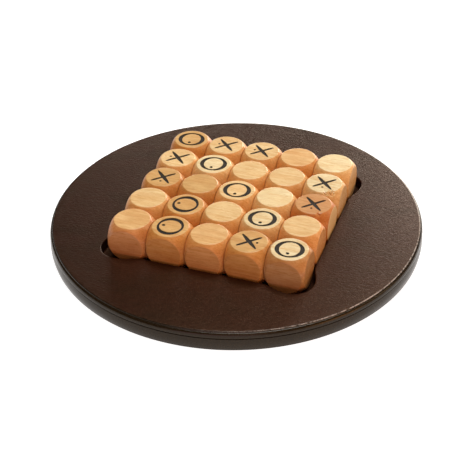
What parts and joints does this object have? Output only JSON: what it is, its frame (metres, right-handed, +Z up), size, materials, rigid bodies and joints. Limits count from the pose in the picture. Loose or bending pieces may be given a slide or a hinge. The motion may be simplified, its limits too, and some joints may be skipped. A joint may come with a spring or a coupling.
{
  "type": "noughts and crosses set",
  "caption": "Round moulded wooden board with a shallow square recess that holds a block of loose wooden cubes, each stamped with a cross on one face and a nought on the opposite face.",
  "frame": {"origin": "centre of the round board's underside, on the surface it rests on", "axes": "+Z up, +X along the rows of cubes to the right, +Y towards the back row of cubes"},
  "size_m": [0.265, 0.265, 0.0339],
  "materials": {
    "lacquered_board": "dark brown semi-gloss lacquer over solid wood, slightly textured",
    "wood_cream": "clear satin varnish over pale beech, cream tone",
    "wood_peach": "clear satin varnish over pale beech, peach tone",
    "wood_honey": "clear satin varnish over pale beech, honey tone",
    "wood_amber": "clear satin varnish over pale beech, amber tone",
    "wood_russet": "clear satin varnish over pale beech, russet tone"
  },
  "bodies": {
    "board": {"board": "lacquered_board"},
    "cube_row1_col1": {"cube_row1_col1": "wood_amber"},
    "cube_row1_col2": {"cube_row1_col2": "wood_peach"},
    "cube_row1_col3": {"cube_row1_col3": "wood_peach"},
    "cube_row1_col4": {"cube_row1_col4": "wood_honey"},
    "cube_row1_col5": {"cube_row1_col5": "wood_cream"},
    "cube_row2_col1": {"cube_row2_col1": "wood_peach"},
    "cube_row2_col2": {"cube_row2_col2": "wood_cream"},
    "cube_row2_col3": {"cube_row2_col3": "wood_peach"},
    "cube_row2_col4": {"cube_row2_col4": "wood_peach"},
    "cube_row2_col5": {"cube_row2_col5": "wood_cream"},
    "cube_row3_col1": {"cube_row3_col1": "wood_amber"},
    "cube_row3_col2": {"cube_row3_col2": "wood_amber"},
    "cube_row3_col3": {"cube_row3_col3": "wood_peach"},
    "cube_row3_col4": {"cube_row3_col4": "wood_cream"},
    "cube_row3_col5": {"cube_row3_col5": "wood_russet"},
    "cube_row4_col1": {"cube_row4_col1": "wood_peach"},
    "cube_row4_col2": {"cube_row4_col2": "wood_amber"},
    "cube_row4_col3": {"cube_row4_col3": "wood_peach"},
    "cube_row4_col4": {"cube_row4_col4": "wood_cream"},
    "cube_row4_col5": {"cube_row4_col5": "wood_peach"},
    "cube_row5_col1": {"cube_row5_col1": "wood_honey"},
    "cube_row5_col2": {"cube_row5_col2": "wood_amber"},
    "cube_row5_col3": {"cube_row5_col3": "wood_honey"},
    "cube_row5_col4": {"cube_row5_col4": "wood_amber"},
    "cube_row5_col5": {"cube_row5_col5": "wood_cream"}
  },
  "joints": [
    {"name": "lift_row1_col1", "type": "slide", "parent": "board", "child": "cube_row1_col1", "axis": [0, 0, 1], "range_m": [0, 0.036]},
    {"name": "lift_row1_col2", "type": "slide", "parent": "board", "child": "cube_row1_col2", "axis": [0, 0, 1], "range_m": [0, 0.036]},
    {"name": "lift_row1_col3", "type": "slide", "parent": "board", "child": "cube_row1_col3", "axis": [0, 0, 1], "range_m": [0, 0.036]},
    {"name": "lift_row1_col4", "type": "slide", "parent": "board", "child": "cube_row1_col4", "axis": [0, 0, 1], "range_m": [0, 0.036]},
    {"name": "lift_row1_col5", "type": "slide", "parent": "board", "child": "cube_row1_col5", "axis": [0, 0, 1], "range_m": [0, 0.036]},
    {"name": "lift_row2_col1", "type": "slide", "parent": "board", "child": "cube_row2_col1", "axis": [0, 0, 1], "range_m": [0, 0.036]},
    {"name": "lift_row2_col2", "type": "slide", "parent": "board", "child": "cube_row2_col2", "axis": [0, 0, 1], "range_m": [0, 0.036]},
    {"name": "lift_row2_col3", "type": "slide", "parent": "board", "child": "cube_row2_col3", "axis": [0, 0, 1], "range_m": [0, 0.036]},
    {"name": "lift_row2_col4", "type": "slide", "parent": "board", "child": "cube_row2_col4", "axis": [0, 0, 1], "range_m": [0, 0.036]},
    {"name": "lift_row2_col5", "type": "slide", "parent": "board", "child": "cube_row2_col5", "axis": [0, 0, 1], "range_m": [0, 0.036]},
    {"name": "lift_row3_col1", "type": "slide", "parent": "board", "child": "cube_row3_col1", "axis": [0, 0, 1], "range_m": [0, 0.036]},
    {"name": "lift_row3_col2", "type": "slide", "parent": "board", "child": "cube_row3_col2", "axis": [0, 0, 1], "range_m": [0, 0.036]},
    {"name": "lift_row3_col3", "type": "slide", "parent": "board", "child": "cube_row3_col3", "axis": [0, 0, 1], "range_m": [0, 0.036]},
    {"name": "lift_row3_col4", "type": "slide", "parent": "board", "child": "cube_row3_col4", "axis": [0, 0, 1], "range_m": [0, 0.036]},
    {"name": "lift_row3_col5", "type": "slide", "parent": "board", "child": "cube_row3_col5", "axis": [0, 0, 1], "range_m": [0, 0.036]},
    {"name": "lift_row4_col1", "type": "slide", "parent": "board", "child": "cube_row4_col1", "axis": [0, 0, 1], "range_m": [0, 0.036]},
    {"name": "lift_row4_col2", "type": "slide", "parent": "board", "child": "cube_row4_col2", "axis": [0, 0, 1], "range_m": [0, 0.036]},
    {"name": "lift_row4_col3", "type": "slide", "parent": "board", "child": "cube_row4_col3", "axis": [0, 0, 1], "range_m": [0, 0.036]},
    {"name": "lift_row4_col4", "type": "slide", "parent": "board", "child": "cube_row4_col4", "axis": [0, 0, 1], "range_m": [0, 0.036]},
    {"name": "lift_row4_col5", "type": "slide", "parent": "board", "child": "cube_row4_col5", "axis": [0, 0, 1], "range_m": [0, 0.036]},
    {"name": "lift_row5_col1", "type": "slide", "parent": "board", "child": "cube_row5_col1", "axis": [0, 0, 1], "range_m": [0, 0.036]},
    {"name": "lift_row5_col2", "type": "slide", "parent": "board", "child": "cube_row5_col2", "axis": [0, 0, 1], "range_m": [0, 0.036]},
    {"name": "lift_row5_col3", "type": "slide", "parent": "board", "child": "cube_row5_col3", "axis": [0, 0, 1], "range_m": [0, 0.036]},
    {"name": "lift_row5_col4", "type": "slide", "parent": "board", "child": "cube_row5_col4", "axis": [0, 0, 1], "range_m": [0, 0.036]},
    {"name": "lift_row5_col5", "type": "slide", "parent": "board", "child": "cube_row5_col5", "axis": [0, 0, 1], "range_m": [0, 0.036]}
  ]
}
